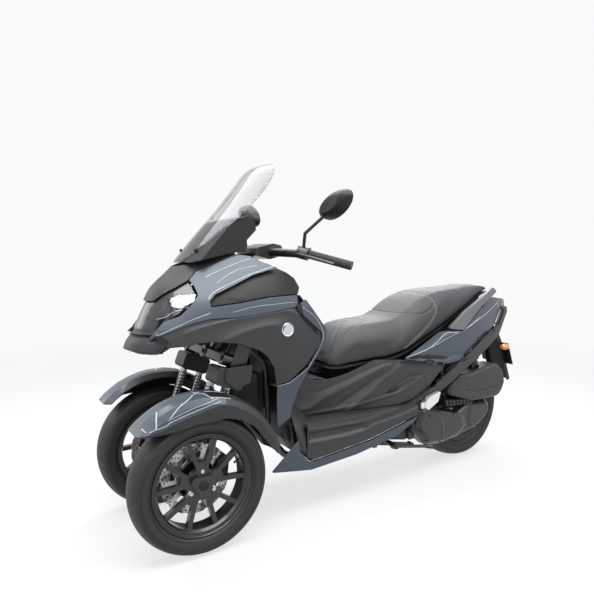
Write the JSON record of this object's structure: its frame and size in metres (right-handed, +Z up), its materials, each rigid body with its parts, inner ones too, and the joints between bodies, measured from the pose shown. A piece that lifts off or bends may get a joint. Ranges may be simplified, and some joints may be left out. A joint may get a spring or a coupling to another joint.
{
  "type": "motorized trike",
  "caption": "Motor scooter with leaning, steered front wheels in twin forks, a tall clear windscreen, stepped saddle, foot boards, rear swing-arm engine and folding stands.",
  "frame": {"origin": "on the ground, under the middle of the overall length and the middle of the width", "axes": "+X forward along the vehicle, +Y to the rider's left, +Z up"},
  "size_m": [2.2499, 0.9156, 1.4669],
  "materials": {
    "amber_lens": "amber moulded lens in a dark body",
    "bar_black": "satin black",
    "black_plastic": "fine-grained black plastic",
    "case_grey": "dark grey painted casting",
    "clear_lens": "clear moulded lens",
    "dark_plastic": "matte dark-grey moulded plastic",
    "engine_metal": "cast aluminium, grey paint",
    "fork_metal": "satin black casting",
    "frame_steel": "satin black painted steel tube",
    "grip_rubber": "ribbed rubber",
    "lamp_dark": "dark reflector housing",
    "linkage_steel": "satin black painted steel",
    "mirror_silver": "silvered glass",
    "peg_alloy": "bright cast aluminium",
    "radiator_alloy": "black finned core",
    "rail_silver": "satin cast aluminium",
    "red_lens": "red moulded lens",
    "rubber_mat": "ribbed foot mat on dark plastic",
    "screen_clear": "lightly smoked clear sheet",
    "seat_cover": "grained black cover with stitched seams",
    "shock_steel": "black spring, steel damper",
    "silencer_steel": "brushed stainless steel with dark cap",
    "slate_paint": "glossy metallic blue-grey paint",
    "stand_steel": "black painted steel",
    "tube_chrome": "polished hard chrome",
    "tyre_rubber": "matte rubber with tread grooves",
    "wheel_paint": "satin black painted casting"
  },
  "bodies": {
    "chassis": {"frame": "frame_steel", "engine": "engine_metal", "belt_case": "case_grey", "air_box": "dark_plastic", "exhaust": "silencer_steel", "radiator": "radiator_alloy", "rear_shocks": "shock_steel", "lean_linkage": "linkage_steel", "top_cowl": "dark_plastic", "side_fairings": "slate_paint", "fairing_pockets": "black_plastic", "nose_cover": "dark_plastic", "lower_covers": "dark_plastic", "leg_trims": "slate_paint", "under_strips": "slate_paint", "lamp_housing": "lamp_dark", "headlight_lenses": "clear_lens", "front_indicators": "clear_lens", "inner_shield": "black_plastic", "dash": "black_plastic", "meter_hood": "black_plastic", "windscreen": "screen_clear", "foot_boards": "rubber_mat", "tunnel": "dark_plastic", "body_sides": "dark_plastic", "tail_panels": "slate_paint", "tail_spars": "dark_plastic", "grab_rails": "rail_silver", "storage_box": "black_plastic", "tail_lamp": "red_lens", "splash_guard": "black_plastic", "number_plate": "dark_plastic", "rear_indicators": "amber_lens"},
    "steering": {"handlebar": "bar_black", "grips": "grip_rubber", "mirrors": "black_plastic", "mirror_glasses": "mirror_silver"},
    "fork_left": {"fork_left": "fork_metal", "fork_tubes_left": "tube_chrome", "mudguard_left": "slate_paint"},
    "fork_right": {"fork_right": "fork_metal", "fork_tubes_right": "tube_chrome", "mudguard_right": "slate_paint"},
    "wheel_front_left": {"wheel_front_left": "wheel_paint", "tyre_front_left": "tyre_rubber"},
    "wheel_front_right": {"wheel_front_right": "wheel_paint", "tyre_front_right": "tyre_rubber"},
    "wheel_rear": {"wheel_rear": "wheel_paint", "tyre_rear": "tyre_rubber"},
    "saddle": {"saddle_cushion": "seat_cover", "saddle_pan": "black_plastic"},
    "fuel_lid": {"fuel_lid": "dark_plastic"},
    "centre_stand": {"centre_stand": "stand_steel"},
    "side_stand": {"side_stand": "stand_steel"},
    "peg_left": {"peg_left": "peg_alloy"},
    "peg_right": {"peg_right": "peg_alloy"}
  },
  "joints": [
    {"name": "steer", "type": "hinge", "parent": "chassis", "child": "steering", "pos_m": [0.931, 0, 0], "axis": [-0.342, 0, 0.9397], "range_deg": [-30, 30]},
    {"name": "fork_left_steer", "type": "hinge", "parent": "chassis", "child": "fork_left", "pos_m": [0.931, 0.185, 0], "axis": [-0.342, 0, 0.9397], "range_deg": [-31, 31]},
    {"name": "fork_right_steer", "type": "hinge", "parent": "chassis", "child": "fork_right", "pos_m": [0.931, -0.185, 0], "axis": [-0.342, 0, 0.9397], "range_deg": [-31, 31]},
    {"name": "front_left_spin", "type": "hinge", "parent": "fork_left", "child": "wheel_front_left", "pos_m": [0.863, 0.235, 0.262], "axis": [0, 1, 0], "continuous": true},
    {"name": "front_right_spin", "type": "hinge", "parent": "fork_right", "child": "wheel_front_right", "pos_m": [0.863, -0.235, 0.262], "axis": [0, 1, 0], "continuous": true},
    {"name": "rear_spin", "type": "hinge", "parent": "chassis", "child": "wheel_rear", "pos_m": [-0.732, 0, 0.276], "axis": [0, 1, 0], "continuous": true},
    {"name": "saddle_tilt", "type": "hinge", "parent": "chassis", "child": "saddle", "pos_m": [0.214, 0, 0.588], "axis": [0, 1, 0], "range_deg": [0, 60]},
    {"name": "fuel_lid_tilt", "type": "hinge", "parent": "chassis", "child": "fuel_lid", "pos_m": [0.358, 0, 0.59], "axis": [0, 1, 0], "range_deg": [0, 100]},
    {"name": "centre_stand_fold", "type": "hinge", "parent": "chassis", "child": "centre_stand", "pos_m": [-0.1, 0, 0.178], "axis": [0, -1, 0], "range_deg": [0, 88]},
    {"name": "side_stand_fold", "type": "hinge", "parent": "chassis", "child": "side_stand", "pos_m": [-0.15, 0.172, 0.19], "axis": [0, -0.9781, -0.2079], "range_deg": [0, 80]},
    {"name": "peg_left_fold", "type": "hinge", "parent": "chassis", "child": "peg_left", "pos_m": [-0.238, 0.252, 0.397], "axis": [0, 0, -1], "range_deg": [0, 80]},
    {"name": "peg_right_fold", "type": "hinge", "parent": "chassis", "child": "peg_right", "pos_m": [-0.238, -0.252, 0.397], "axis": [0, 0, 1], "range_deg": [0, 80]}
  ],
  "couplings": [
    {"joint": "fork_left_steer", "follows": "steer", "ratio": 1},
    {"joint": "fork_right_steer", "follows": "steer", "ratio": 1}
  ]
}
